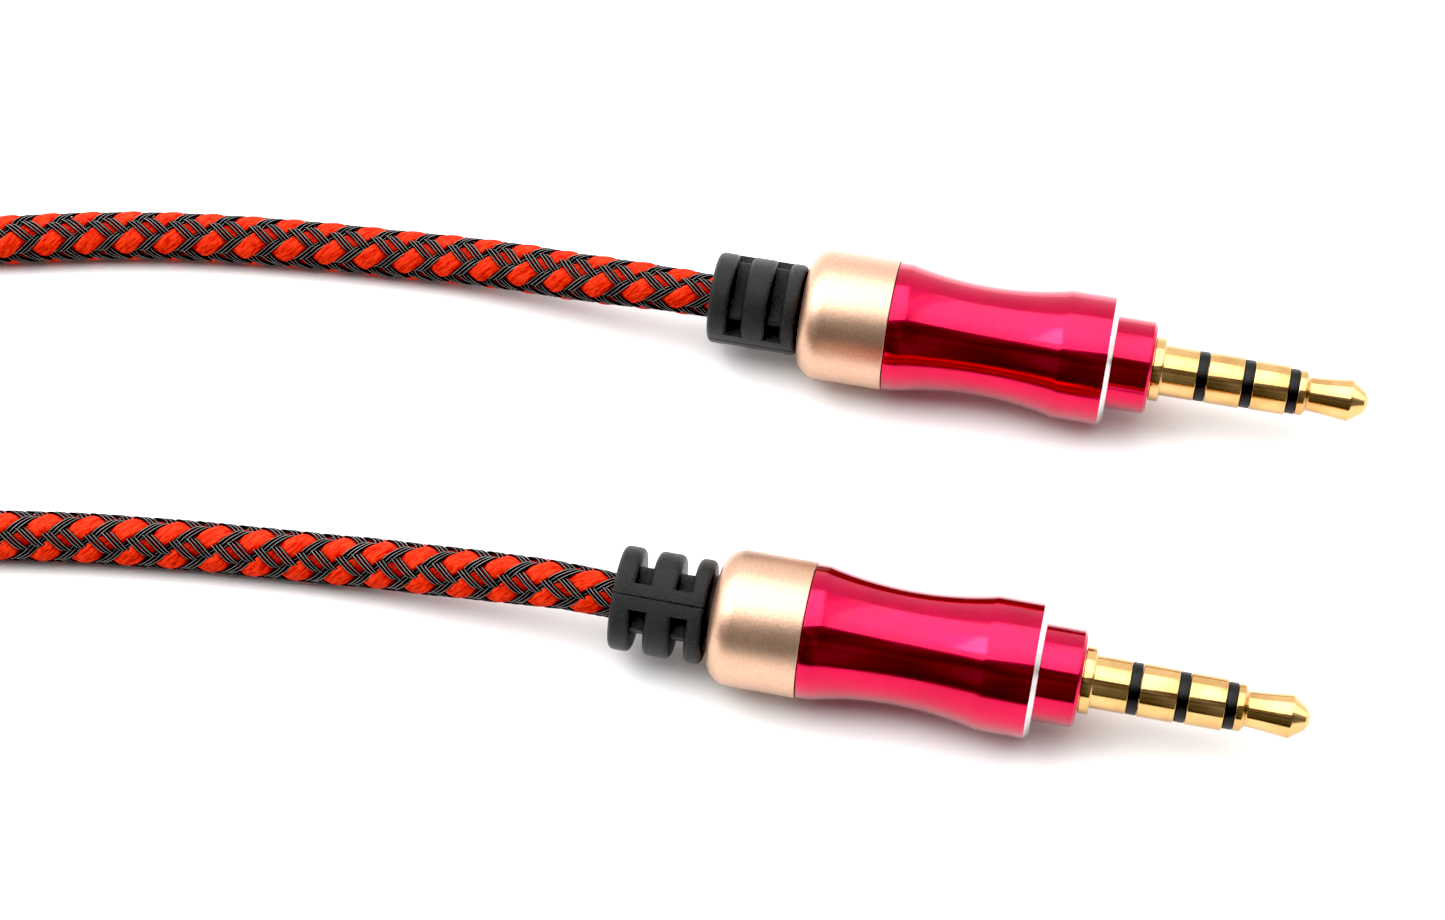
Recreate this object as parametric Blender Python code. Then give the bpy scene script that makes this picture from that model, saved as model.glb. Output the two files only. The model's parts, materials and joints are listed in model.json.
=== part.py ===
"""A braided stereo lead with a 3.5 mm four-pole plug on each end, lying on a table.

Each plug is an assembly: a turned jack of nested contacts and insulators, its solder joints and
wires, an insulating tube, a waisted metal shell, a rear cap and a ribbed rubber boot. Most of the
cord is put away in a round coil held by a strap.

Units in the tables below are millimetres. A plug's own X axis is its centre line: station 0 is
where its boot starts, and the tip points along +X. The world has +Z up, the table at z = 0 and
the origin below the middle of the two plugs.
"""
import math

import bmesh
import bpy
from mathutils import Matrix, Vector

MM = 0.001

# ---- where the two plugs lie: station 0, heading and roll about the plug's own axis, and how far
# ---- forward of station 0 the boot was pushed when the plug was put together
PLUGS = {
    "plug_a": {"rear": (-18.9, 15.6), "heading": -11.3, "roll": 103.5, "boot": 0.25},
    "plug_b": {"rear": (-25.0, -8.4), "heading": -11.6, "roll": 26.0, "boot": 0.0},
}

# ---- plug: driving radii and stations along the axis
CAP_RADIUS = 4.5                 # the cap is the widest part, so it rests on the table
SHELL_RADIUS = 4.45
AXIS_HEIGHT = CAP_RADIUS
RUN_GAP = 0.05                   # radial play between nested pieces of the jack
FACE_GAP = 0.03                  # play between the jack's ring faces
SEAT_GAP = 0.15                  # play round the rubber boot's neck

CAP_REAR = 6.55
CAP_FRONT = 12.65
SHELL_REAR = CAP_FRONT + RUN_GAP
SHELL_FRONT = 27.95
CHAMFER_LENGTH = 0.32
CHAMFER_DEPTH = 0.38
NOSE_FRONT = 30.7
FLANGE_REAR = NOSE_FRONT + RUN_GAP
FLANGE_FRONT = 31.45
PIN_LENGTH = 14.0                # from the flange to the tip, as every 3.5 mm plug
TIP_END = FLANGE_FRONT + PIN_LENGTH

# ---- jack: ends of the visible bands, rear to front
SLEEVE_END = 33.8
RING_2_START = 34.5
RING_2_END = 36.9
RING_1_START = 37.6
RING_1_END = 40.0
TIP_START = 40.67
PIN_RADIUS = 1.75
FLANGE_RADIUS = 2.2
TERMINAL_RADIUS = 2.0            # rear end of the sleeve contact, inside the shell

# ---- boot, from its own rear face
BOOT_LENGTH = 6.2
RIB_HALF_WIDTH = 3.45            # the ribs are oval, and lower where the spines are
RIB_HALF_HEIGHT = 3.1
SLOTS = ((1.45, 2.32), (4.13, 5.04))
CORE_HALF = 2.1                  # the core left in the slots is square
SPINE_HALF_WIDTH = 0.9
NECK_RADIUS = 2.5
HEAD_RADIUS = 3.7                # locks the boot inside the cap
HEAD_REAR = 7.9
HEAD_FRONT = 9.6
JACKET_RADIUS = 1.25
BOOT_BORE = JACKET_RADIUS + RUN_GAP

# ---- shell
WAIST = (13.6, 24.6, 0.65)       # start, end and depth of the hollow waist
SHELL_BORE = 3.4
NOSE_RADIUS = 3.2
NOSE_BORE = 2.1
NOSE_SHOULDER = 27.8             # inside face that the jack's collar bears on
SPIGOT_REAR = 10.9
SPIGOT_RADIUS = 3.85

# ---- wires and solder: terminal station, terminal radius and direction round the axis
WIRE_START = 10.7
WIRE_RADIUS = 0.3
WIRE_CIRCLE = 0.8
SOLDER_HALF_LENGTH = 0.33
SOLDER_RADIUS = 0.3
TERMINALS = {
    "left": (22.1, 0.42, 45.0),
    "right": (23.7, 0.85, 135.0),
    "microphone": (25.3, 1.22, 225.0),
    "ground": (26.53, TERMINAL_RADIUS, 315.0),
}

# ---- cord
CORD_DIAMETER = 3.4
CORD_GAP = 0.3                   # between the cord's solids and what they meet
TUBE_STEP = 2.0 * CORD_DIAMETER
CORD_A_ROUTE = [
    (-22.3, 16.3, 4.45), (-26.4, 17.4, 3.85), (-29.3, 18.35, 3.2), (-32.2, 19.3, 2.65),
    (-35.2, 20.1, 2.2), (-38.2, 20.75, 1.85), (-41.2, 21.2, 1.72), (-44.1, 21.6, 1.7),
    (-47.0, 21.95, 1.7), (-50.0, 22.25, 1.7), (-53.0, 22.5, 1.7), (-56.0, 22.7, 1.7),
    (-58.8, 22.8, 1.7), (-61.8, 22.8, 1.7), (-64.8, 22.7, 1.7), (-67.3, 22.55, 1.7),
    (-69.5, 22.45, 1.7), (-72.0, 22.45, 1.7), (-74.6, 22.7, 1.7), (-76.9, 23.2, 1.7),
]
CORD_B_ROUTE = [
    (-28.4, -7.6, 4.45), (-31.1, -6.95, 4.05), (-35.3, -5.95, 3.3), (-38.4, -5.25, 2.75),
    (-41.2, -4.6, 2.3), (-44.3, -4.05, 1.9), (-47.2, -3.6, 1.73), (-50.2, -3.25, 1.7),
    (-53.2, -2.9, 1.7), (-56.0, -2.65, 1.7), (-59.0, -2.4, 1.7), (-61.9, -2.2, 1.7),
    (-65.0, -2.1, 1.7), (-67.5, -2.0, 1.7), (-70.2, -1.95, 1.7), (-72.9, -1.95, 1.72),
    (-75.2, -2.1, 1.9), (-76.9, -2.35, 2.1),
]
COIL_CENTRE = (-102.4, 10.2)
COIL_OUTER_TURN = 25.0           # centre-line radius of the outermost turn
COIL_INNER_TURN = 13.1
COIL_TOP_TURN = 5.1              # centre-line height of the upper layer
COIL_SLACK = 0.1
STRAP_THICKNESS = 0.8
STRAP_WIDTH = 6.0

# ---- facets
JACK_SIDES = 20
RIB_SIDES = 24
SHELL_SIDES = 32
COIL_SIDES = 48

FINISHES = {
    "gold": ((0.83, 0.62, 0.28), 0.22, 1.0),
    "crimson_aluminium": ((0.62, 0.01, 0.08), 0.25, 1.0),
    "champagne_aluminium": ((0.86, 0.70, 0.52), 0.45, 1.0),
    "black_rubber": ((0.03, 0.032, 0.033), 0.75, 0.0),
    "black_plastic": ((0.02, 0.02, 0.022), 0.35, 0.0),
    "white_plastic": ((0.80, 0.80, 0.76), 0.50, 0.0),
    "grey_jacket": ((0.25, 0.25, 0.26), 0.60, 0.0),
    "solder": ((0.62, 0.63, 0.65), 0.35, 1.0),
    "wire_left": ((0.10, 0.45, 0.16), 0.45, 0.0),
    "wire_right": ((0.60, 0.05, 0.04), 0.45, 0.0),
    "wire_microphone": ((0.07, 0.16, 0.55), 0.45, 0.0),
    "wire_ground": ((0.72, 0.40, 0.22), 0.30, 1.0),
    "red_braid": ((0.75, 0.07, 0.03), 0.80, 0.0),
    "black_strap": ((0.03, 0.03, 0.03), 0.85, 0.0),
}


def clear_scene():
    for item in list(bpy.data.objects):
        bpy.data.objects.remove(item, do_unlink=True)


def material(name):
    """The Principled material of one finish, made once."""
    made = bpy.data.materials.get(name)
    if made:
        return made
    colour, roughness, metallic = FINISHES[name]
    made = bpy.data.materials.new(name)
    made.use_nodes = True
    shader = made.node_tree.nodes["Principled BSDF"]
    shader.inputs["Base Color"].default_value = (*colour, 1.0)
    shader.inputs["Roughness"].default_value = roughness
    shader.inputs["Metallic"].default_value = metallic
    return made


def add_object(name, data, finish, parent=None):
    piece = bpy.data.objects.new(name, data)
    bpy.context.scene.collection.objects.link(piece)
    piece.parent = parent
    if finish:
        data.materials.append(material(finish))
    return piece


def mesh_from(name, bm):
    bmesh.ops.recalc_face_normals(bm, faces=bm.faces)
    mesh = bpy.data.meshes.new(name)
    bm.to_mesh(mesh)
    bm.free()
    mesh.shade_smooth()
    mesh.set_sharp_from_angle(angle=math.radians(35))
    return mesh


def turned(name, outline, finish, parent=None, sides=SHELL_SIDES):
    """A piece turned about local X from (station, radius) points.

    An outline that starts and ends on the axis is a solid; any other is closed into a ring.
    """
    bm = bmesh.new()
    verts = [bm.verts.new((station * MM, 0.0, radius * MM)) for station, radius in outline]
    edges = [bm.edges.new(pair) for pair in zip(verts, verts[1:])]
    if outline[0][1] > 0:
        edges.append(bm.edges.new((verts[-1], verts[0])))
    bmesh.ops.spin(bm, geom=verts + edges, cent=(0, 0, 0), axis=(1, 0, 0),
                   angle=2 * math.pi, steps=sides, use_merge=True)
    bmesh.ops.remove_doubles(bm, verts=bm.verts, dist=1e-7)
    return add_object(name, mesh_from(name, bm), finish, parent)


def prism(name, section, start, end, finish=None, parent=None):
    """A closed (y, z) section extruded along local X from one station to another."""
    bm = bmesh.new()
    face = bm.faces.new([bm.verts.new((start * MM, y * MM, z * MM)) for y, z in section])
    grown = bmesh.ops.extrude_face_region(bm, geom=[face])["geom"]
    moved = [item for item in grown if isinstance(item, bmesh.types.BMVert)]
    bmesh.ops.translate(bm, verts=moved, vec=((end - start) * MM, 0, 0))
    return add_object(name, mesh_from(name, bm), finish, parent)


def arc(station, radius, size, start, end, steps):
    """Points on a circle in the (station, radius) plane, angles in degrees from +station."""
    turn = [math.radians(start + (end - start) * i / steps) for i in range(steps + 1)]
    return [(station + size * math.cos(t), radius + size * math.sin(t)) for t in turn]


def boolean(piece, cutter, operation="DIFFERENCE"):
    cutter.hide_render = True
    cutter.display_type = "WIRE"
    step = piece.modifiers.new(cutter.name, "BOOLEAN")
    step.operation = operation
    step.solver = "EXACT"
    step.object = cutter


def tube(name, points, radius, finish, parent=None, resolution=2):
    """A round tube with filled ends along a list of points in millimetres."""
    curve = bpy.data.curves.new(name, "CURVE")
    curve.dimensions = "3D"
    curve.bevel_depth = radius * MM
    curve.bevel_resolution = resolution
    curve.use_fill_caps = True
    spline = curve.splines.new("POLY")
    spline.points.add(len(points) - 1)
    for point, place in zip(spline.points, points):
        point.co = (*(Vector(place) * MM), 1.0)
    spline.use_smooth = True
    return add_object(name, curve, finish, parent)


def smooth_route(points, step):
    """Points a step apart on the Catmull-Rom curve through a route's own points."""
    route = [Vector(p) for p in points]
    padded = [2 * route[0] - route[1], *route, 2 * route[-1] - route[-2]]
    fine = []
    for a, b, c, d in zip(padded, padded[1:], padded[2:], padded[3:]):
        for i in range(16):
            t = i / 16
            fine.append(0.5 * (2 * b + (c - a) * t + (2 * a - 5 * b + 4 * c - d) * t * t
                               + (3 * b - a - 3 * c + d) * t ** 3))
    fine.append(route[-1])
    length = sum((q - p).length for p, q in zip(fine, fine[1:]))
    count = max(2, round(length / step))
    out, walked, wanted = [fine[0]], 0.0, length / count
    for p, q in zip(fine, fine[1:]):
        hop = (q - p).length
        while walked + hop >= wanted and len(out) < count:
            out.append(p.lerp(q, (wanted - walked) / hop))
            wanted += length / count
        walked += hop
    return out + [fine[-1]]


# ---------------------------------------------------------------- jack
def jack(prefix, frame):
    """The nested contacts and insulators: each ring is a short band on a long thin tube."""
    half = FACE_GAP / 2

    def band(name, finish, rear, bore, wall, start, end, radius):
        outline = [(rear, bore), (rear, bore + wall), (start + half, bore + wall),
                   (start + half, radius), (end - half, radius), (end - half, bore)]
        turned(f"{prefix}_{name}", outline, finish, frame, JACK_SIDES)

    rod = 0.42
    tip = [(21.4, 0), (21.4, rod), (TIP_START + half, rod), (TIP_START + half, 1.55),
           (41.15, 1.55), (41.4, 1.17), (42.4, 1.24), (44.3, 1.45), (44.5, 1.43),
           (45.3, 0.68), (TIP_END, 0.52), (TIP_END, 0)]
    turned(f"{prefix}_tip_contact", tip, "gold", frame, JACK_SIDES)
    band("tip_insulator", "black_plastic", 22.8, rod + RUN_GAP, 0.15, RING_1_END, TIP_START, 1.54)
    band("ring_1_contact", "gold", 23.0, 0.67, 0.18, RING_1_START, RING_1_END, 1.70)
    band("ring_insulator", "black_plastic", 24.4, 0.90, 0.13, RING_2_END, RING_1_START, 1.65)
    band("ring_2_contact", "gold", 24.6, 1.08, 0.14, RING_2_START, RING_2_END, PIN_RADIUS)
    band("sleeve_insulator", "black_plastic", 26.0, 1.27, 0.13, SLEEVE_END, RING_2_START, 1.71)

    bore, collar_rear, collar_front, collar = 1.45, 26.9, 27.7, 2.7
    sleeve = [(26.2, bore), (26.2, TERMINAL_RADIUS), (collar_rear, TERMINAL_RADIUS),
              (collar_rear, collar), (collar_front, collar), (collar_front, TERMINAL_RADIUS),
              (FLANGE_REAR, TERMINAL_RADIUS), (FLANGE_REAR, FLANGE_RADIUS),
              (FLANGE_FRONT, FLANGE_RADIUS), (FLANGE_FRONT, PIN_RADIUS),
              (SLEEVE_END - half, PIN_RADIUS), (SLEEVE_END - half, bore)]
    turned(f"{prefix}_sleeve_contact", sleeve, "gold", frame, JACK_SIDES)


# ---------------------------------------------------------------- housings
def front_shell(prefix, frame):
    """Waisted metal shell with a spigot behind, a bright chamfer and the nose in front."""
    start, end, depth = WAIST
    half_chord = (end - start) / 2
    hollow = (half_chord ** 2 + depth ** 2) / (2 * depth)
    spread = math.degrees(math.asin(half_chord / hollow))
    waist = arc((start + end) / 2, SHELL_RADIUS - depth + hollow, hollow,
                270 - spread, 270 + spread, 8)
    outline = [
        (SPIGOT_REAR, SHELL_BORE), (SPIGOT_REAR, SPIGOT_RADIUS), (SHELL_REAR, SPIGOT_RADIUS),
        (SHELL_REAR, SHELL_RADIUS), *waist,
        (SHELL_FRONT - CHAMFER_LENGTH, SHELL_RADIUS), (SHELL_FRONT, SHELL_RADIUS - CHAMFER_DEPTH),
        (SHELL_FRONT, NOSE_RADIUS), (NOSE_FRONT - 0.22, NOSE_RADIUS),
        (NOSE_FRONT, NOSE_RADIUS - 0.22), (NOSE_FRONT, NOSE_BORE),
        (NOSE_SHOULDER, NOSE_BORE), (NOSE_SHOULDER, SHELL_BORE),
    ]
    turned(f"{prefix}_front_shell", outline, "crimson_aluminium", frame)


def rear_cap(prefix, frame):
    """Round-shouldered metal cap that slides over the shell's spigot and the boot's head."""
    fillet, wall = 1.6, 1.2
    outline = [
        (CAP_REAR, NECK_RADIUS + SEAT_GAP),
        *arc(CAP_REAR + fillet, CAP_RADIUS - fillet, fillet, 180, 90, 5),
        (CAP_FRONT - 0.06, CAP_RADIUS), (CAP_FRONT, CAP_RADIUS - 0.06),
        (CAP_FRONT, SPIGOT_RADIUS + 0.1), (CAP_REAR + wall, SPIGOT_RADIUS + 0.1),
        (CAP_REAR + wall, NECK_RADIUS + SEAT_GAP),
    ]
    turned(f"{prefix}_rear_cap", outline, "champagne_aluminium", frame)


def insulating_tube(prefix, frame):
    inner, outer = 2.95, SHELL_BORE - 0.1
    outline = [(11.3, inner), (11.3, outer), (27.5, outer), (27.5, inner)]
    turned(f"{prefix}_insulating_tube", outline, "white_plastic", frame)


def rib_section():
    """The oval of the ribs."""
    turns = [2 * math.pi * i / RIB_SIDES for i in range(RIB_SIDES)]
    return [(RIB_HALF_WIDTH * math.cos(t), RIB_HALF_HEIGHT * math.sin(t)) for t in turns]


def slot_section(side):
    """What a slot takes from one side: all that lies outside the core and the spines."""
    far = RIB_HALF_WIDTH + 1
    half = [(SPINE_HALF_WIDTH, -far), (far, -far), (far, far), (SPINE_HALF_WIDTH, far),
            (SPINE_HALF_WIDTH, CORE_HALF), (CORE_HALF, CORE_HALF),
            (CORE_HALF, -CORE_HALF), (SPINE_HALF_WIDTH, -CORE_HALF)]
    return [(side * y, z) for y, z in half]


def boot(prefix, frame):
    """Rubber strain relief: three ribs joined by a square core and two spines, neck and head."""
    block = prism(f"{prefix}_strain_relief", rib_section(), 0, BOOT_LENGTH, "black_rubber", frame)
    edges = block.modifiers.new("rounded_ends", "BEVEL")
    edges.width = 0.3 * MM
    edges.segments = 2
    edges.limit_method = "ANGLE"
    edges.angle_limit = math.radians(60)

    neck = turned(f"{prefix}_neck_tool", [
        (BOOT_LENGTH - 0.6, 0), (BOOT_LENGTH - 0.6, NECK_RADIUS), (HEAD_REAR, NECK_RADIUS),
        (HEAD_REAR, HEAD_RADIUS), (HEAD_FRONT, HEAD_RADIUS), (HEAD_FRONT, 0)],
        None, frame, JACK_SIDES)
    boolean(block, neck, "UNION")
    for number, (start, end) in enumerate(SLOTS):
        for side in (-1, 1):
            where = "left" if side > 0 else "right"
            cutter = prism(f"{prefix}_slot_tool_{number}_{where}", slot_section(side),
                           start, end, None, frame)
            boolean(block, cutter)
    bore = turned(f"{prefix}_bore_tool", [
        (-1, 0), (-1, BOOT_BORE), (HEAD_FRONT + 1, BOOT_BORE), (HEAD_FRONT + 1, 0)],
        None, frame, JACK_SIDES)
    boolean(block, bore)


# ---------------------------------------------------------------- wiring
def wiring(prefix, frame):
    """The cord's stripped end, its four conductors and the solder drops on the terminals."""
    rear, front = PLUGS[prefix]["boot"], WIRE_START - 0.3
    jacket = [(rear, 0), (rear, JACKET_RADIUS), (front, JACKET_RADIUS), (front, 0)]
    turned(f"{prefix}_jacket_end", jacket, "grey_jacket", frame, JACK_SIDES)
    for name, (station, terminal, angle) in TERMINALS.items():
        turn = math.radians(angle)
        across = Vector((0.0, math.sin(turn), math.cos(turn)))
        height = terminal + RUN_GAP + SOLDER_RADIUS
        wire_end = station - SOLDER_HALF_LENGTH - RUN_GAP
        bends = [(WIRE_START, WIRE_CIRCLE), (WIRE_START + 3, WIRE_CIRCLE),
                 (wire_end - 3, height), (wire_end, height)]
        points = [Vector((x, 0, 0)) + across * r for x, r in bends]
        tube(f"{prefix}_{name}_wire", points, WIRE_RADIUS, f"wire_{name}", frame, 1)

        bm = bmesh.new()
        shape = Matrix.Translation((Vector((station, 0, 0)) + across * height) * MM)
        shape @= Matrix.Diagonal((SOLDER_HALF_LENGTH / SOLDER_RADIUS, 1, 1, 1))
        bmesh.ops.create_uvsphere(bm, u_segments=8, v_segments=5,
                                  radius=SOLDER_RADIUS * MM, matrix=shape)
        drop = mesh_from(f"{prefix}_{name}_solder", bm)
        add_object(f"{prefix}_{name}_solder", drop, "solder", frame)


def plug(prefix, place):
    """One complete plug under an empty at its station 0."""
    frame = bpy.data.objects.new(f"{prefix}_frame", None)
    bpy.context.scene.collection.objects.link(frame)
    frame.location = Vector((*place["rear"], AXIS_HEIGHT)) * MM
    frame.rotation_euler = (math.radians(place["roll"]), 0, math.radians(place["heading"]))
    jack(prefix, frame)
    front_shell(prefix, frame)
    rear_cap(prefix, frame)
    insulating_tube(prefix, frame)
    wiring(prefix, frame)
    boot_frame = bpy.data.objects.new(f"{prefix}_boot_frame", None)
    bpy.context.scene.collection.objects.link(boot_frame)
    boot_frame.parent = frame
    boot_frame.location.x = place["boot"] * MM
    boot(prefix, boot_frame)


# ---------------------------------------------------------------- cord
def cord_tube(name, place, route):
    """The stretch of cord from a boot to the coil."""
    heading = math.radians(place["heading"])
    rear = Vector((*place["rear"], AXIS_HEIGHT))
    forward = Vector((math.cos(heading), math.sin(heading), 0))
    exit_point = rear + (place["boot"] - CORD_GAP) * forward
    points = smooth_route([exit_point, *route], TUBE_STEP)
    tube(name, points, CORD_DIAMETER / 2, "red_braid")


def coil():
    """The outer shape of the coiled cord, notched underneath where the strap passes."""
    proud = CORD_DIAMETER / 2 + COIL_SLACK
    inner, outer = COIL_INNER_TURN - proud, COIL_OUTER_TURN + proud
    top, corner = COIL_TOP_TURN + proud, 1.5
    outline = [(0, inner), (0, outer - corner), (corner, outer),
               (top - corner, outer), (top, outer - corner), (top, inner)]
    ring = turned("cord_coil", outline, "red_braid", None, COIL_SIDES)
    ring.location = Vector((*COIL_CENTRE, 0)) * MM
    ring.rotation_euler = (0, math.radians(-90), 0)

    under = STRAP_THICKNESS + CORD_GAP
    across = STRAP_WIDTH / 2 + CORD_GAP
    notch = prism("strap_notch_tool", [(-across, -1), (across, -1), (across, under),
                                       (-across, under)], -outer - 1, 1 - inner)
    notch.location = ring.location
    boolean(ring, notch)

    strap_inner = math.sqrt(inner ** 2 - (STRAP_WIDTH / 2) ** 2) - CORD_GAP
    strap(strap_inner, outer + CORD_GAP, top + CORD_GAP)


def rounded_loop(low, high, corner):
    """A rectangle between two (x, z) corners with rounded corners, anticlockwise."""
    loop = []
    middles = ((high[0] - corner, high[1] - corner), (low[0] + corner, high[1] - corner),
               (low[0] + corner, low[1] + corner), (high[0] - corner, low[1] + corner))
    for quarter, (x, z) in enumerate(middles):
        loop += arc(x, z, corner, 90 * quarter, 90 * quarter + 90, 3)
    return loop


def strap(inner, outer, top):
    """A flat strap wrapped once round the coil's turns on the side away from the plugs."""
    thick = STRAP_THICKNESS
    loops = [rounded_loop((-outer, thick), (-inner, top), 0.6),
             rounded_loop((-outer - thick, 0), (-inner + thick, top + thick), 0.6 + thick)]
    bm = bmesh.new()
    rings = [[bm.verts.new((x * MM, side * STRAP_WIDTH / 2 * MM, z * MM)) for x, z in loop]
             for loop in loops for side in (-1, 1)]
    inner_near, inner_far, outer_near, outer_far = rings
    for one, two in ((inner_near, inner_far), (outer_near, outer_far),
                     (inner_near, outer_near), (inner_far, outer_far)):
        for i in range(len(one)):
            bm.faces.new((one[i - 1], one[i], two[i], two[i - 1]))
    piece = add_object("coil_strap", mesh_from("coil_strap", bm), "black_strap")
    piece.location = Vector((*COIL_CENTRE, 0)) * MM


def main():
    clear_scene()
    for prefix, place in PLUGS.items():
        plug(prefix, place)
    cord_tube("cord_tube_a", PLUGS["plug_a"], CORD_A_ROUTE)
    cord_tube("cord_tube_b", PLUGS["plug_b"], CORD_B_ROUTE)
    coil()


main()
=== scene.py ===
import json
import math

import bmesh
import bpy
import numpy as np
from mathutils import Matrix, Vector


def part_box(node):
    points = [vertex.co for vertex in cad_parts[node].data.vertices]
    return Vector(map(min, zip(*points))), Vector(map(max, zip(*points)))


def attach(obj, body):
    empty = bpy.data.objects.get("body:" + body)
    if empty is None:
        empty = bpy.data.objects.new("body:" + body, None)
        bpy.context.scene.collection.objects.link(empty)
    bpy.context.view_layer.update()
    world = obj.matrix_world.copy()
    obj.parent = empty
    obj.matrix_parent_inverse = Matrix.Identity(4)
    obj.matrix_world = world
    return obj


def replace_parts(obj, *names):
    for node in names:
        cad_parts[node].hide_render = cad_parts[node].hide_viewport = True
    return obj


# Looks of the braided stereo lead: a detailed piece for every part that shows, procedural
# finishes, and the table, light and camera. Tables are in millimetres. A plug's own X axis is its
# centre line: station 0 is the rear face of the boot and the tip points along +X. The row frame
# has +Z up and the table at z = 0.

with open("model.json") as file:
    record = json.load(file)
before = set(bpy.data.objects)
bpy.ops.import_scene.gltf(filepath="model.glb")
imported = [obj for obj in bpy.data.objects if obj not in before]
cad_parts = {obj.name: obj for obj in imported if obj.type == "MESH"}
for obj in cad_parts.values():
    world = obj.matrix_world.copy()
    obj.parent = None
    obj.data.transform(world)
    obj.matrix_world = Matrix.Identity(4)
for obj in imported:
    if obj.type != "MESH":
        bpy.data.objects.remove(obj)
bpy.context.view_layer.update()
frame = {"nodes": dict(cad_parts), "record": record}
MM = 0.001

# ---- camera
CAMERA_TARGET = (-18.1, 5.0, 0.0)
CAMERA_DISTANCE = 235.0
CAMERA_ELEVATION = 57.7
CAMERA_LENS = 85.2

# ---- plugs
PLUG_ROLLS = {"plug_a": 103.5, "plug_b": 26.0}
BOOT_REARS = {"plug_a": 0.25, "plug_b": 0.0}
TUBE_MIDDLE = 19.4               # station of the middle of the insulating tube
LATHE_SIDES = 128

# ---- cord
CORD_A_ROUTE = [
    (-22.3, 16.3, 4.45), (-26.4, 17.4, 3.85), (-29.3, 18.35, 3.2), (-32.2, 19.3, 2.65),
    (-35.2, 20.1, 2.2), (-38.2, 20.75, 1.85), (-41.2, 21.2, 1.72), (-44.1, 21.6, 1.7),
    (-47.0, 21.95, 1.7), (-50.0, 22.25, 1.7), (-53.0, 22.5, 1.7), (-56.0, 22.7, 1.7),
    (-58.8, 22.8, 1.7), (-61.8, 22.8, 1.7), (-64.8, 22.7, 1.7), (-67.3, 22.55, 1.7),
    (-69.5, 22.45, 1.7), (-72.0, 22.45, 1.7), (-74.6, 22.7, 1.7), (-76.9, 23.2, 1.7),
]
CORD_B_ROUTE = [
    (-28.4, -7.6, 4.45), (-31.1, -6.95, 4.05), (-35.3, -5.95, 3.3), (-38.4, -5.25, 2.75),
    (-41.2, -4.6, 2.3), (-44.3, -4.05, 1.9), (-47.2, -3.6, 1.73), (-50.2, -3.25, 1.7),
    (-53.2, -2.9, 1.7), (-56.0, -2.65, 1.7), (-59.0, -2.4, 1.7), (-61.9, -2.2, 1.7),
    (-65.0, -2.1, 1.7), (-67.5, -2.0, 1.7), (-70.2, -1.95, 1.7), (-72.9, -1.95, 1.72),
    (-75.2, -2.1, 1.9), (-76.9, -2.35, 2.1),
]
COIL_ARRIVAL = [(-78.9, 23.82, 1.7), (-81.0, 24.87, 1.7), (-82.95, 26.17, 1.7)]
COIL_DEPARTURE = [(-83.07, -3.54, 4.85), (-81.5, -3.1, 4.0), (-80.0, -2.78, 3.1),
                  (-78.4, -2.55, 2.45)]
COIL_CENTRE = (-102.4, 10.2)
COIL_TURNS = 6.757
COIL_START_ANGLE = 45.0
COIL_PITCH = 3.45
COIL_LOWER_TURNS = 3.45          # turns wound inwards before the cord climbs
COIL_CLIMB_TURNS = 0.5
COIL_INNER_TURN = 13.1
COIL_HEIGHTS = (1.7, 5.1)
COIL_STEPS = 36                  # route points in each turn

# ---- braid: 16 carriers, each over two and under two
LEAD = 11.5                      # along the cord for one turn of a carrier
BRAID_A = {"turn": 0.0, "roll": -67.5}
BRAID_B = {"turn": 0.156, "roll": -16.5}
MOUTH_SQUEEZE = 0.11             # how much thinner the braid is where a boot grips it
SQUEEZE_REACH = 6.5
STRAND_REACH = 59.0              # stretch behind each boot whose strands are real pieces
CORE_RADIUS = 1.25
OUTERMOST = 0.25                 # of the way round a filament, its outermost line, where its painted highlight runs
RED_SHARE = 0.78                 # of the way from a red tow's middle to the black one's
FILAMENT_RADIUS = 0.09
FILAMENT_PITCH = 0.215           # between the filaments of one black tow
BLACK_RADIUS = 1.45              # centre of a black tow, and how far it swings in and out
BLACK_SWING = 0.17
RED_RADIUS = 1.40
RED_SWING = 0.13
PITCH_RADIUS = 1.6               # where the braid is unrolled to measure widths
STRAND_STEP = 0.17               # between the rings of a strand
PAINTED_SHADE_RED = ((0.30, 0.006, 0.009), (0.50, 0.030, 0.012))    # painted shade on a red tow where it runs under other tows

# ---- braid drawn on the cord's own surface: half widths of its tows, in carriers
RED_HALF = 0.69
SLASH_HALF = 0.30
BACK_HALF = 0.307

# ---- boot, from its own rear face
BOOT_LENGTH = 6.2
RIB_HALF_WIDTH = 3.45
RIB_HALF_HEIGHT = 3.1
SLOTS = ((1.45, 2.32), (4.13, 5.04))
CORE_HALF = 2.1
SPINE_HALF_WIDTH = 0.9

# ---- strap
STRAP_WIDTH = 6.0
STRAP_THICKNESS = 0.8
STRAP_LAP = 11.0                 # how far the free end runs over the start
STRAP_RAMP = 4.0                 # length over which it climbs onto the start
STRAP_CORNER = 2.0
STRAP_STEP = 0.25
STRAP_POINTS = 25                # across each face


# ================================================================ camera
def add_camera():
    lift = math.radians(CAMERA_ELEVATION)
    data = bpy.data.cameras.new("camera")
    data.lens = CAMERA_LENS
    data.sensor_width = 36.0
    data.clip_start = 0.01
    camera = bpy.data.objects.new("camera", data)
    back = Vector((0.0, -math.cos(lift), math.sin(lift)))
    camera.location = (Vector(CAMERA_TARGET) + CAMERA_DISTANCE * back) * MM
    camera.rotation_euler = (math.pi / 2 - lift, 0.0, 0.0)
    bpy.context.scene.collection.objects.link(camera)
    bpy.context.scene.camera = camera


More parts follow.
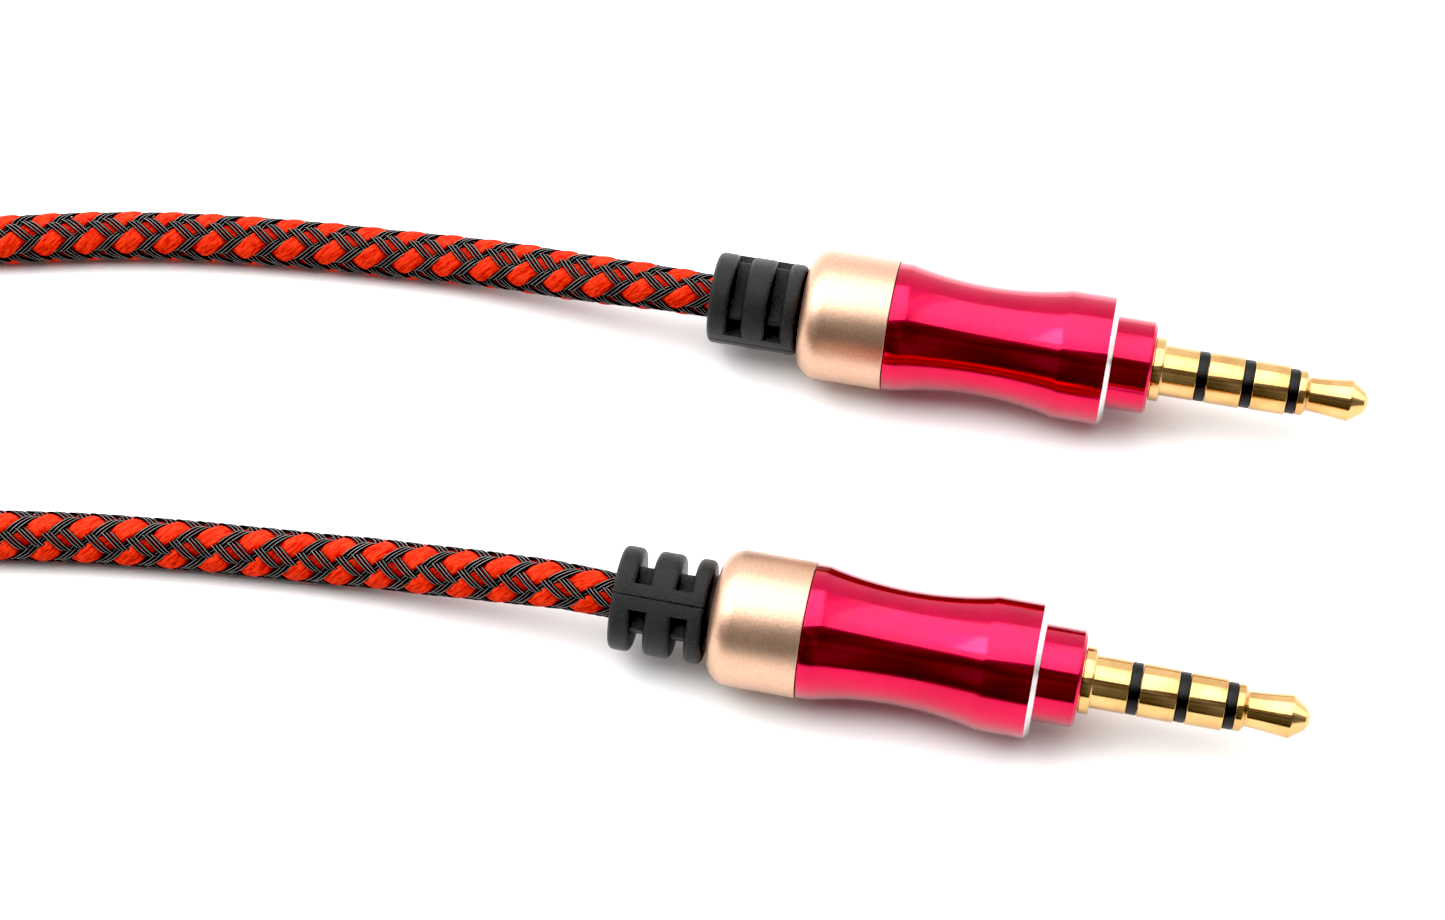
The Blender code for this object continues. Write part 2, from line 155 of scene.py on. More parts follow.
# ================================================================ materials
class Nodes:
    """Short calls that add nodes to a tree."""

    def __init__(self, tree):
        self.tree = tree

    def node(self, kind, inputs=(), output=0, **settings):
        made = self.tree.nodes.new("ShaderNode" + kind)
        for key, value in settings.items():
            setattr(made, key, value)
        for key, value in dict(inputs).items():
            if isinstance(value, bpy.types.NodeSocket):
                self.tree.links.new(value, made.inputs[key])
            else:
                made.inputs[key].default_value = value
        return made.outputs[output]

    def math(self, operation, a, b=0.0, c=0.0):
        return self.node("Math", {0: a, 1: b, 2: c}, operation=operation)

    def noise(self, vector, scale, detail=3.0, roughness=0.55):
        return self.node("TexNoise", {"Vector": vector, "Scale": scale, "Detail": detail,
                                      "Roughness": roughness})


class Finish(Nodes):
    """A Principled material put together from short calls."""

    def __init__(self, name, **sockets):
        self.material = bpy.data.materials.new(name)
        self.material.use_nodes = True
        super().__init__(self.material.node_tree)
        self.shader = self.tree.nodes["Principled BSDF"]
        for socket, value in sockets.items():
            self.set(socket.replace("_", " ").title().replace("Ior", "IOR"), value)

    def set(self, socket, value):
        if isinstance(value, bpy.types.NodeSocket):
            self.tree.links.new(value, self.shader.inputs[socket])
        elif isinstance(value, tuple):
            self.shader.inputs[socket].default_value = (*value, 1.0)
        else:
            self.shader.inputs[socket].default_value = value

    def mix(self, factor, a, b):
        ends = {0: factor, 6: a if not isinstance(a, tuple) else (*a, 1.0),
                7: b if not isinstance(b, tuple) else (*b, 1.0)}
        return self.node("Mix", ends, 2, data_type="RGBA")

    def span(self, value, low, high, to_low=0.0, to_high=1.0):
        return self.node("MapRange", {0: value, 1: low, 2: high, 3: to_low, 4: to_high},
                         interpolation_type="SMOOTHSTEP")

    def place(self, scale=(1.0, 1.0, 1.0)):
        """Object coordinates in millimetres, stretched by a scale."""
        where = self.node("TexCoord", output=3)
        return self.node("VectorMath", {0: where, 1: tuple(k / MM for k in scale)},
                         operation="MULTIPLY")

    def bump(self, height, depth, normal=None, strength=1.0):
        """Bump whose full height is depth millimetres."""
        inputs = {"Height": height, "Distance": depth * MM, "Strength": strength}
        if normal:
            inputs["Normal"] = normal
        result = self.node("Bump", inputs)
        self.set("Normal", result)
        return result


def turned_metal(name, colour, roughness, groove, worn, **sockets):
    """Lathe-turned metal: rings of fine grooves, faint scratches, a little handling haze."""
    finish = Finish(name, metallic=1.0, **sockets)
    rings = finish.noise(finish.place((22.0, 0.25, 0.25)), 1.0, 2.0)
    scratch = finish.noise(finish.place((0.7, 9.0, 9.0)), 1.0, 5.0, 0.7)
    haze = finish.noise(finish.place(), 0.45, 4.0)
    tone = finish.span(haze, 0.35, 0.7)
    finish.set("Base Color", finish.mix(tone, colour, worn))
    spread = finish.math("MULTIPLY_ADD", finish.span(haze, 0.3, 0.75), 0.05, roughness)
    finish.set("Roughness", finish.math("MULTIPLY_ADD", rings, 0.04, spread))
    finish.set("Anisotropic", 0.8)
    finish.set("Anisotropic Rotation", 0.25)
    finish.set("Tangent", finish.node("Tangent", direction_type="RADIAL", axis="X"))
    first = finish.bump(rings, groove)
    finish.bump(finish.span(scratch, 0.60, 0.72), groove * 0.6, first, 0.35)
    return finish.material


def blasted_metal(name, colour, shade):
    """Bead-blasted and anodised metal: fine even grain, softly varied tone."""
    finish = Finish(name, metallic=1.0)
    grain = finish.noise(finish.place(), 9.0, 3.0, 0.6)
    cloud = finish.noise(finish.place(), 0.5, 3.0)
    finish.set("Base Color", finish.mix(finish.span(grain, 0.3, 0.7), shade, colour))
    finish.set("Roughness", finish.math("MULTIPLY_ADD", cloud, 0.08, 0.34))
    finish.bump(grain, 0.010)
    return finish.material


def moulded_rubber(name, colour, dust):
    """Spark-eroded mould texture in dull rubber, with a little grey bloom on the high spots."""
    finish = Finish(name)
    pebble = finish.node("TexVoronoi", {"Vector": finish.place(), "Scale": 11.0},
                         feature="F1")
    grain = finish.noise(finish.place(), 13.0, 3.0, 0.7)
    height = finish.math("MULTIPLY_ADD", pebble, -0.6, grain)
    finish.set("Base Color", finish.mix(finish.span(grain, 0.45, 0.68), colour, dust))
    finish.set("Roughness", finish.math("MULTIPLY_ADD", grain, 0.20, 0.28))
    finish.set("Specular IOR Level", 0.30)
    finish.bump(height, 0.060)
    return finish.material


def smooth_plastic(name, colour, roughness, depth=0.008, **sockets):
    finish = Finish(name, **sockets)
    ripple = finish.noise(finish.place(), 2.2, 3.0)
    pits = finish.noise(finish.place(), 14.0, 2.0)
    darker = tuple(0.8 * channel for channel in colour)
    finish.set("Base Color", finish.mix(finish.span(ripple, 0.3, 0.7), darker, colour))
    finish.set("Roughness", finish.math("MULTIPLY_ADD", pits, 0.12, roughness))
    finish.bump(finish.math("ADD", ripple, pits), depth)
    return finish.material


def solder_metal(name):
    finish = Finish(name, metallic=1.0)
    frost = finish.noise(finish.place(), 9.0, 5.0, 0.7)
    finish.set("Base Color", finish.mix(frost, (0.45, 0.46, 0.48), (0.78, 0.79, 0.80)))
    finish.set("Roughness", finish.math("MULTIPLY_ADD", frost, 0.3, 0.18))
    finish.bump(frost, 0.01)
    return finish.material


def stranded_copper(name):
    """Fine bare copper wires twisted together."""
    finish = Finish(name, metallic=1.0)
    where = finish.place((3.0, 16.0, 16.0))
    lay = finish.noise(where, 1.0, 2.0)
    finish.set("Base Color", finish.mix(lay, (0.55, 0.22, 0.10), (0.92, 0.52, 0.30)))
    finish.set("Roughness", finish.math("MULTIPLY_ADD", lay, 0.2, 0.2))
    finish.bump(lay, 0.03)
    return finish.material


def yarn(name, light, deep):
    """Soft multifilament yarn: fine fibres along the tow, from its own (along, across) map, and
    painted shade, deeper in colour, where its lift map says that it runs under other tows."""
    finish = Finish(name, specular_ior_level=0.04)
    shade, height = yarn_fibres(finish, finish.node("UVMap", uv_map="strand"))
    lift = finish.node("SeparateXYZ", {0: finish.node("UVMap", uv_map="lift")}, 0)
    # painted shade: the tow's colour darkened where it runs under the other tows
    painted_shade = finish.mix(shade, *PAINTED_SHADE_RED)
    finish.set("Base Color", finish.mix(finish.span(lift, -0.9, 0.5), painted_shade,
                                        finish.mix(shade, deep, light)))
    finish.set("Roughness", 0.72)
    finish.bump(height, 0.12)
    return finish.material


def yarn_fibres(finish, where):
    """Tone and height of twisted fibres at (along, across) in millimetres."""
    stretched = finish.node("VectorMath", {0: where, 1: (1.6, 8.5, 1.0)}, operation="MULTIPLY")
    fibre = finish.noise(stretched, 1.0, 4.0, 0.72)
    thick = finish.node("VectorMath", {0: where, 1: (0.8, 3.2, 1.0)}, operation="MULTIPLY")
    ply = finish.noise(thick, 1.0, 2.0)
    both = finish.math("ADD", finish.math("MULTIPLY", fibre, 0.7),
                       finish.math("MULTIPLY", ply, 0.3))
    return finish.span(both, 0.36, 0.62), both


def monofilament(name):
    """Black nylon monofilament: glossy, with drawing lines along it, and a painted highlight, a
    lighter line along each filament's outermost side.
    """
    finish = Finish(name)
    where = finish.node("UVMap", uv_map="strand")
    lines = finish.noise(finish.node("VectorMath", {0: where, 1: (0.6, 18.0, 1.0)},
                                     operation="MULTIPLY"), 1.0, 3.0)
    round_ = finish.node("SeparateXYZ", {0: where}, 1)
    # painted highlight: a lighter colour along each filament's outermost line, patchy along the
    # drawing lines
    aside = finish.math("ABSOLUTE", finish.math(
        "SUBTRACT", finish.math("FRACT", round_), OUTERMOST))
    painted_highlight = finish.math("MULTIPLY", finish.span(aside, 0.01, 0.065, 1.0, 0.0),
                         finish.span(lines, 0.35, 0.6, 0.35, 1.0))
    finish.set("Base Color", finish.mix(painted_highlight, (0.002, 0.002, 0.002), (0.25, 0.24, 0.225)))
    finish.set("Roughness", finish.math("MULTIPLY_ADD", lines, 0.14, 0.14))
    finish.set("Specular IOR Level", 0.09)
    finish.bump(lines, 0.006)
    return finish.material


def braid(name, light, deep):
    """The whole braid on one surface, from its map of (turns along, turns round), with a painted
    highlight along the crest of each black filament.
    """
    finish = Finish(name)
    where = finish.node("SeparateXYZ", {0: finish.node("UVMap", uv_map="braid")})
    along, round_ = where.node.outputs[0], where.node.outputs[1]
    kappa = finish.math("MULTIPLY", finish.math("ADD", round_, along), 8.0)
    iota = finish.math("MULTIPLY", finish.math("SUBTRACT", round_, along), 8.0)
    k, j = finish.math("ROUND", kappa), finish.math("ROUND", iota)
    k_off, j_off = finish.math("SUBTRACT", kappa, k), finish.math("SUBTRACT", iota, j)

    def over(a, b):
        """1 where the carriers' numbers add up to 0 or 1, modulo 4."""
        total = finish.math("ADD", finish.math("ADD", a, b), 0.25)
        return finish.math("LESS_THAN", finish.math("FLOORED_MODULO", total, 4.0), 2.0)

    even = finish.math("MULTIPLY", finish.math("ROUND", finish.math("MULTIPLY", kappa, 0.5)), 2.0)
    red_off = finish.math("SUBTRACT", kappa, even)
    on_red = finish.math("LESS_THAN", finish.math("ABSOLUTE", red_off), RED_HALF)
    odd = finish.math("FLOORED_MODULO", k, 2.0)
    on_slash = finish.math("MULTIPLY", odd, finish.math(
        "LESS_THAN", finish.math("ABSOLUTE", k_off), SLASH_HALF))
    on_back = finish.math("LESS_THAN", finish.math("ABSOLUTE", j_off), BACK_HALF)
    slash_over, red_over = over(k, j), over(even, j)

    def filaments(offset):
        """Height of three round filaments side by side across a tow."""
        phase = finish.math("MULTIPLY", finish.math("ADD", offset, BACK_HALF),
                            math.pi * 3 / (2 * BACK_HALF))
        return finish.math("ABSOLUTE", finish.math("SINE", phase))

    back_wins = finish.math("MULTIPLY", on_back, finish.math("SUBTRACT", 1.0, finish.math(
        "MAXIMUM", finish.math("MULTIPLY", on_red, red_over),
        finish.math("MULTIPLY", on_slash, slash_over))))
    slash_wins = finish.math("MULTIPLY", on_slash, finish.math("SUBTRACT", 1.0, back_wins))
    black = finish.math("MAXIMUM", back_wins, slash_wins)
    red = finish.math("MULTIPLY", on_red, finish.math("SUBTRACT", 1.0, black))

    lay = finish.node("CombineXYZ", {0: finish.math("MULTIPLY", iota, -0.95),
                                     1: finish.math("MULTIPLY", red_off, 0.95)})
    shade, fibre = yarn_fibres(finish, lay)
    thread = finish.mix(shade, deep, light)
    ridge = finish.math("ADD", finish.math("MULTIPLY", back_wins, filaments(j_off)),
                        finish.math("MULTIPLY", slash_wins, filaments(k_off)))
    # painted highlight: black tows lighter in colour along the crest of each filament
    black_with_painted_highlight = finish.mix(finish.span(ridge, 0.80, 1.0), (0.002, 0.002, 0.002), (0.10, 0.095, 0.085))
    finish.set("Base Color", finish.mix(red, black_with_painted_highlight, thread))
    finish.set("Roughness", finish.math("MULTIPLY_ADD", red, 0.45, 0.27))
    finish.set("Specular IOR Level", finish.math("MULTIPLY_ADD", red, -0.20, 0.24))
    finish.bump(finish.math("ADD", ridge, finish.math("MULTIPLY", red, fibre)), 0.07)
    return finish.material


def hook_and_loop(name):
    """Woven strap with a fuzz of fine loops."""
    finish = Finish(name, sheen_weight=0.05, specular_ior_level=0.1)
    fuzz = finish.noise(finish.place(), 5.0, 5.0, 0.75)
    warp = finish.node("TexWave", {"Vector": finish.place(), "Scale": 0.62, "Distortion": 1.2,
                                   "Detail": 2.0}, output=1, bands_direction="Y")
    height = finish.math("MULTIPLY_ADD", warp, 0.5, fuzz)
    finish.set("Base Color", finish.mix(finish.span(fuzz, 0.3, 0.75), (0.003, 0.003, 0.003),
                                        (0.020, 0.020, 0.022)))
    finish.set("Roughness", 0.9)
    finish.bump(height, 0.18)
    return finish.material


def make_materials():
    red_light, red_deep = (0.78, 0.046, 0.016), (0.34, 0.006, 0.004)
    return {
        "gold": turned_metal("gold", (0.64, 0.40, 0.165), 0.09, 0.0035, (0.52, 0.30, 0.11)),
        "crimson": turned_metal("crimson_aluminium", (0.48, 0.0003, 0.042), 0.12, 0.0022,
                                (0.42, 0.0003, 0.034), coat_weight=0.35, coat_roughness=0.10),
        "bare": turned_metal("bare_aluminium", (0.62, 0.61, 0.61), 0.16, 0.004,
                             (0.50, 0.49, 0.49)),
        "champagne": blasted_metal("champagne_aluminium", (0.66, 0.43, 0.31),
                                   (0.54, 0.335, 0.225)),
        "rubber": moulded_rubber("black_rubber", (0.001, 0.0013, 0.0013), (0.0095, 0.011, 0.011)),
        "black": smooth_plastic("black_plastic", (0.004, 0.004, 0.004), 0.30,
                                specular_ior_level=0.2),
        "white": smooth_plastic("white_plastic", (0.80, 0.80, 0.76), 0.45),
        "grey": smooth_plastic("grey_jacket", (0.25, 0.25, 0.26), 0.55, 0.02),
        "solder": solder_metal("solder"),
        "left": smooth_plastic("green_wire", (0.10, 0.45, 0.16), 0.40, 0.01),
        "right": smooth_plastic("red_wire", (0.60, 0.05, 0.04), 0.40, 0.01),
        "microphone": smooth_plastic("blue_wire", (0.07, 0.16, 0.55), 0.40, 0.01),
        "ground": stranded_copper("copper_wire"),
        "braid": braid("red_black_braid", red_light, red_deep),
        "yarn": yarn("red_yarn", red_light, red_deep),
        "filament": monofilament("black_monofilament"),
        "strap": hook_and_loop("strap_fabric"),
    }


# ================================================================ meshes
def add_mesh(name, verts, faces, material, matrix=None, sharp=40.0, maps=None):
    """A piece from arrays of vertices (mm) and faces, riding on the one body."""
    mesh = bpy.data.meshes.new(name)
    verts = np.asarray(verts, float).reshape(-1, 3) * MM
    faces = np.asarray(faces, np.int32)
    mesh.vertices.add(len(verts))
    mesh.vertices.foreach_set("co", verts.ravel())
    mesh.loops.add(faces.size)
    mesh.loops.foreach_set("vertex_index", faces.ravel())
    mesh.polygons.add(len(faces))
    mesh.polygons.foreach_set("loop_start", np.arange(0, faces.size, faces.shape[1]))
    for key, value in (maps or {}).items():
        layer = mesh.uv_layers.new(name=key)
        layer.uv.foreach_set("vector", np.asarray(value, np.float32).ravel())
    mesh.update(calc_edges=True)
    mesh.validate()
    return add_piece(name, mesh, [material], matrix, sharp)


def add_piece(name, mesh, materials, matrix=None, sharp=40.0):
    for material in materials:
        mesh.materials.append(material)
    mesh.shade_smooth()
    if sharp:
        mesh.set_sharp_from_angle(angle=math.radians(sharp))
    piece = bpy.data.objects.new(name, mesh)
    bpy.context.scene.collection.objects.link(piece)
    if matrix:
        piece.matrix_world = matrix
    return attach(piece, "root")


def close_ends(piece):
    """Fill a tube's open ends, and turn its faces outwards."""
    bm = bmesh.new()
    bm.from_mesh(piece.data)
    bmesh.ops.holes_fill(bm, edges=[edge for edge in bm.edges if edge.is_boundary], sides=0)
    bmesh.ops.recalc_face_normals(bm, faces=bm.faces)
    bm.to_mesh(piece.data)
    bm.free()


def grid_faces(rings, sides, close=False):
    """Quads of a tube of rings, as (ring, side) index pairs flattened; side runs on to sides."""
    i = np.arange(rings if close else rings - 1)[:, None]
    j = np.arange(sides)[None, :]
    i, j = np.broadcast_arrays(i, j)
    corners = [(i, j), (i, j + 1), (i + 1, j + 1), (i + 1, j)]
    return [(a.ravel(), b.ravel()) for a, b in corners]


def rounded(corners, steps=5):
    """A closed outline of (station, radius, fillet) corners with each fillet drawn out."""
    outline = []
    earlier, later = corners[-1:] + corners[:-1], corners[1:] + corners[:1]
    for before, here, after in zip(earlier, corners, later):
        corner, fillet = complex(here[0], here[1]), here[2]
        if not fillet:
            outline.append((corner.real, corner.imag))
            continue
        back, on = complex(*before[:2]) - corner, complex(*after[:2]) - corner
        back, on = back / abs(back), on / abs(on)
        middle = back + on
        half = math.acos(min(1.0, max(-1.0, (back * on.conjugate()).real))) / 2
        centre = corner + middle / abs(middle) * fillet / math.sin(half)
        reach = fillet / math.tan(half)
        first, last = corner + back * reach, corner + on * reach
        sweep = (last - centre) / (first - centre)
        turn = math.atan2(sweep.imag, sweep.real)
        for i in range(steps + 1):
            spot = centre + (first - centre) * complex(math.cos(turn * i / steps),
                                                       math.sin(turn * i / steps))
            outline.append((spot.real, spot.imag))
    return outline


def lathe(name, outline, materials, matrix, bright=None):
    """A piece turned about local X. Faces inside bright (station, station, least radius) take
    the second material."""
    bm = bmesh.new()
    verts = [bm.verts.new((station * MM, 0.0, radius * MM)) for station, radius in outline]
    edges = [bm.edges.new(pair) for pair in zip(verts, verts[1:])]
    if outline[0][1] > 0:
        edges.append(bm.edges.new((verts[-1], verts[0])))
    bmesh.ops.spin(bm, geom=verts + edges, cent=(0, 0, 0), axis=(1, 0, 0),
                   angle=2 * math.pi, steps=LATHE_SIDES, use_merge=True)
    bmesh.ops.remove_doubles(bm, verts=bm.verts, dist=1e-8)
    bmesh.ops.recalc_face_normals(bm, faces=bm.faces)
    if bright:
        low, high, least = (value * MM for value in bright)
        for face in bm.faces:
            middle = face.calc_center_median()
            if low < middle.x < high and math.hypot(middle.y, middle.z) > least:
                face.material_index = 1
    mesh = bpy.data.meshes.new(name)
    bm.to_mesh(mesh)
    bm.free()
    return add_piece(name, mesh, materials, matrix, 30.0)


# ================================================================ cord
def plug_matrix(prefix):
    """The plug's own frame: at the middle of the boot's rear face, X along the plug."""
    seat = next(m for m in frame["record"]["mounts"] if m["name"] == f"{prefix}_seat")
    axis = Vector(seat["axis"]).normalized()
    low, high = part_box(f"{prefix}_insulating_tube")
    rear = (low + high) / 2 - axis * TUBE_MIDDLE * MM
    turn = Matrix.Rotation(math.atan2(axis.y, axis.x), 4, "Z")
    roll = Matrix.Rotation(math.radians(PLUG_ROLLS[prefix]), 4, "X")
    return Matrix.Translation(rear) @ turn @ roll


def smoothstep(t):
    t = min(1.0, max(0.0, t))
    return t * t * (3 - 2 * t)


def coil_route():
    """Round and inwards on the table, up at the middle, then outwards on top."""
    points = []
    steps = round(COIL_TURNS * COIL_STEPS)
    for i in range(steps + 1):
        turn = COIL_TURNS * i / steps
        climb = min(1.0, max(0.0, (turn - COIL_LOWER_TURNS) / COIL_CLIMB_TURNS))
        outwards = max(COIL_LOWER_TURNS - turn, turn - COIL_LOWER_TURNS - COIL_CLIMB_TURNS, 0.0)
        radius = COIL_INNER_TURN + COIL_PITCH * outwards - 0.45 * math.sin(math.pi * climb)
        angle = math.radians(COIL_START_ANGLE + 360.0 * turn)
        low, high = COIL_HEIGHTS
        across = radius * math.sin(angle)
        over_strap = smoothstep(1.6 - abs(across) / 5.0) if math.cos(angle) < 0 else 0.0
        height = low + (high - low) * smoothstep(climb) + 1.06 * STRAP_THICKNESS * over_strap
        points.append((COIL_CENTRE[0] + radius * math.cos(angle), COIL_CENTRE[1] + across, height))
    return points


def catmull_rom(points, steps=12):
    route = np.array(points, float)
    padded = np.vstack([2 * route[0] - route[1], route, 2 * route[-1] - route[-2]])
    t = (np.arange(steps) / steps)[None, :, None]
    a, b, c, d = (padded[i:len(padded) - 3 + i, None, :] for i in range(4))
    fine = 0.5 * (2 * b + (c - a) * t + (2 * a - 5 * b + 4 * c - d) * t ** 2
                  + (3 * b - a - 3 * c + d) * t ** 3)
    return np.vstack([fine.reshape(-1, 3), route[-1]])


class Cord:
    """The cord's centre line, and places on its braid.

    The braid's own coordinates are turns of a carrier along the cord and turns round it. Carrier k
    of one hand lies at 8 (round + along) = k, carrier j of the other at 8 (round - along) = j.
    """

    def __init__(self, points):
        self.points = catmull_rom(points)
        steps = np.linalg.norm(np.diff(self.points, axis=0), axis=1)
        self.at = np.concatenate([[0.0], np.cumsum(steps)])
        self.length = self.at[-1]
        forward = np.gradient(self.points, self.at, axis=0)
        forward /= np.linalg.norm(forward, axis=1)[:, None]
        up = np.array([0.0, 0.0, 1.0]) - forward * forward[:, 2:]
        self.up = up / np.linalg.norm(up, axis=1)[:, None]
        self.side = np.cross(forward, self.up)
        first, last = BRAID_A["turn"], BRAID_B["turn"]
        last += round((first + self.length / LEAD - last) * 4) / 4
        hidden = (STRAND_REACH, self.length - STRAND_REACH)
        self.stations = np.array([0.0, *hidden, self.length])
        stretch = STRAND_REACH / LEAD
        self.turns = np.array([first, first + stretch, last - stretch, last])

    def place(self, along, round_, radius):
        """Points in millimetres; the arguments are arrays of one shape."""
        station = np.interp(along, self.turns, self.stations)
        mix = np.clip((station - self.stations[1]) / (self.stations[2] - self.stations[1]), 0, 1)
        roll = np.radians(BRAID_A["roll"] + (BRAID_B["roll"] - BRAID_A["roll"]) * mix)
        angle = 2 * np.pi * round_ + roll

        def line(values):
            return np.stack([np.interp(station, self.at, values[:, i]) for i in range(3)], -1)

        out = np.cos(angle)[..., None] * line(self.up) + np.sin(angle)[..., None] * line(self.side)
        from_end = np.minimum(station, self.length - station)
        radius = radius * (1 - MOUTH_SQUEEZE * np.exp(-(from_end / SQUEEZE_REACH) ** 2))
        return line(self.points) + radius[..., None] * out

    def centre(self, step):
        stations = np.linspace(0, self.length, round(self.length / step) + 1)
        return np.stack([np.interp(stations, self.at, self.points[:, i]) for i in range(3)], -1)


def weave(total):
    """+1 where the first hand's carrier is over, -1 where it is under, smooth between.

    total is the sum of the two hands' coordinates there."""
    swing = np.cos(2 * np.pi * (total - 0.5) / 4)
    return np.tanh(2.3 * swing) / math.tanh(2.3)


def even_out(kappa):
    """Carrier numbers counted evenly across tows of two widths, red wide and black narrow."""
    off = kappa - 2 * np.round(kappa / 2)
    size = np.where(np.abs(off) < RED_SHARE, 0.5 * np.abs(off) / RED_SHARE,
                    0.5 + 0.5 * (np.abs(off) - RED_SHARE) / (1 - RED_SHARE))
    return kappa - off + np.sign(off) * size


def cord_body(cord, material, core):
    """The full-length cord. Its mesh lies along the carriers, so each tow is a clean ridge, and
    near the plugs it is only the core under the real strands."""
    sides, rings_per_turn = 24, 48
    first = math.ceil(cord.turns[0] * rings_per_turn)
    last = math.floor(cord.turns[-1] * rings_per_turn)
    ring = np.arange(first, last + 1)
    along = np.repeat(ring / rings_per_turn, sides).reshape(-1, sides)
    round_ = (np.arange(sides)[None, :] + 0.5 * (ring % 2)[:, None]) / sides
    kappa, iota = 8 * (round_ + along), 8 * (round_ - along)
    over = weave(kappa + iota)
    red_off = np.abs(kappa - 2 * np.round(kappa / 2))
    red = 1.42 + 0.12 * over + 0.17 * np.sqrt(np.clip(1 - (red_off / 0.80) ** 2, 0, 1))
    slash = np.where(red_off > 0.8, 1.50 + 0.14 * over, 0)
    back_off = np.abs(iota - np.round(iota))
    back = np.where(back_off < 0.2, 1.52 - 0.17 * weave(even_out(kappa) + iota), 0)
    radius = np.maximum(np.maximum(red, 1.38), np.maximum(slash, back))
    station = np.interp(along, cord.turns, cord.stations)
    inside = np.minimum(station, cord.length - station)
    covered = inside < STRAND_REACH - 1.0
    radius = np.where(covered, CORE_RADIUS, radius)
    verts = cord.place(along, round_, radius)

    count = len(ring)
    i = np.arange(count - 2)[:, None]
    j = np.arange(sides)[None, :]
    i, j = np.broadcast_arrays(i, j)
    odd = ring[i] % 2
    corners = [(i, j), (i + 1, j + odd), (i + 2, j), (i + 1, j + odd - 1)]
    faces = np.stack([a * sides + b % sides for a, b in corners], -1).reshape(-1, 4)
    uv = np.stack([np.stack([ring[a] / rings_per_turn, (b + 0.5 * (ring[a] % 2)) / sides], -1)
                   for a, b in corners], -2).reshape(-1, 2)
    piece = add_mesh("cord", verts, faces, material, sharp=None, maps={"braid": uv})
    piece.data.materials.append(core)
    piece.data.polygons.foreach_set("material_index",
                                    covered[i + 1, j].ravel().astype(np.int32))
    close_ends(piece)
    return piece


def tubes(name, lines, radial, section, material, closed_map, lift=None):
    """Several strands in one piece. lines are (strands, rings, 3) centre lines, radial the
    outward direction at each, section the (side, out) points round a strand at each ring, and
    lift says where a strand runs over (1) or under (-1) the others."""
    strands, rings = lines.shape[:2]
    forward = np.gradient(lines, axis=1)
    forward /= np.linalg.norm(forward, axis=-1)[..., None]
    out = radial - forward * np.sum(radial * forward, -1)[..., None]
    out /= np.linalg.norm(out, axis=-1)[..., None]
    side = np.cross(forward, out)
    verts = (lines[:, :, None] + section[..., :1] * side[:, :, None]
             + section[..., 1:] * out[:, :, None])
    sides = verts.shape[2]
    corners = grid_faces(rings, sides)
    one = np.stack([a * sides + b % sides for a, b in corners], -1)
    per_strand = rings * sides
    faces = (np.arange(strands)[:, None, None] * per_strand + one).reshape(-1, 4)
    a = np.stack([a for a, _ in corners], -1)
    b = np.stack([b for _, b in corners], -1)
    uv = np.stack([closed_map(strand, a, b, sides) for strand in range(strands)])
    maps = {"strand": uv}
    if lift is not None:
        maps["lift"] = np.stack([np.stack([row[a], 0 * row[a]], -1) for row in lift])
    piece = add_mesh(name, verts, faces, material, sharp=None, maps=maps)
    close_ends(piece)
    return piece


def strand_span(cord, end):
    """Turns along the cord of the stretch with real strands behind plug_a or plug_b."""
    if end == "a":
        return np.array([cord.turns[0], cord.turns[1]])
    return np.array([cord.turns[2], cord.turns[3]])


def wander(rng, shape, span, size):
    """Slow random drift along each strand."""
    rings = shape[1]
    knots = max(4, round(span))
    values = rng.normal(0, size, (shape[0], knots))
    at = np.linspace(0, knots - 1, rings)
    return np.stack([np.interp(at, np.arange(knots), row) for row in values])


def black_strands(cord, end, material, rng):
    """Every black tow of one stretch: three filaments each, both hands."""
    start, stop = strand_span(cord, end)
    rings = round((stop - start) * LEAD / STRAND_STEP)
    along = np.linspace(start, stop, rings)
    girth = 2 * math.pi * PITCH_RADIUS
    slant = math.hypot(1.0, girth / LEAD)
    lines, radial = [], []
    carriers = [(1, k) for k in (1, 3, 5, 7)] + [(-1, j) for j in range(8)]
    for hand, number in carriers:
        drift = wander(rng, (1, rings), 14, 0.02)[0]
        for filament in (-1, 0, 1):
            offset = (FILAMENT_PITCH * filament + drift
                      + wander(rng, (1, rings), 30, 0.012)[0]) * slant
            round_ = number / 8 - hand * along + offset / girth
            total = 16 * round_ if hand > 0 else even_out(16 * round_ - number) + number
            radius = (BLACK_RADIUS + BLACK_SWING * hand * weave(total)
                      + wander(rng, (1, rings), 40, 0.008)[0])
            lines.append(cord.place(along, round_, radius))
            radial.append(cord.place(along, round_, radius + 1.0) - lines[-1])
    lines, radial = np.array(lines), np.array(radial)
    turn = 2 * np.pi * np.arange(6) / 6
    section = np.stack([np.cos(turn), np.sin(turn)], -1) * FILAMENT_RADIUS
    section = np.broadcast_to(section, (*lines.shape[:2], 6, 2))

    def chart(strand, a, b, sides):
        return np.stack([a * 0.22 + 7.3 * strand, b / sides + strand], -1)

    return tubes(f"cord_{end}_black_strands", lines, radial, section, material, chart)


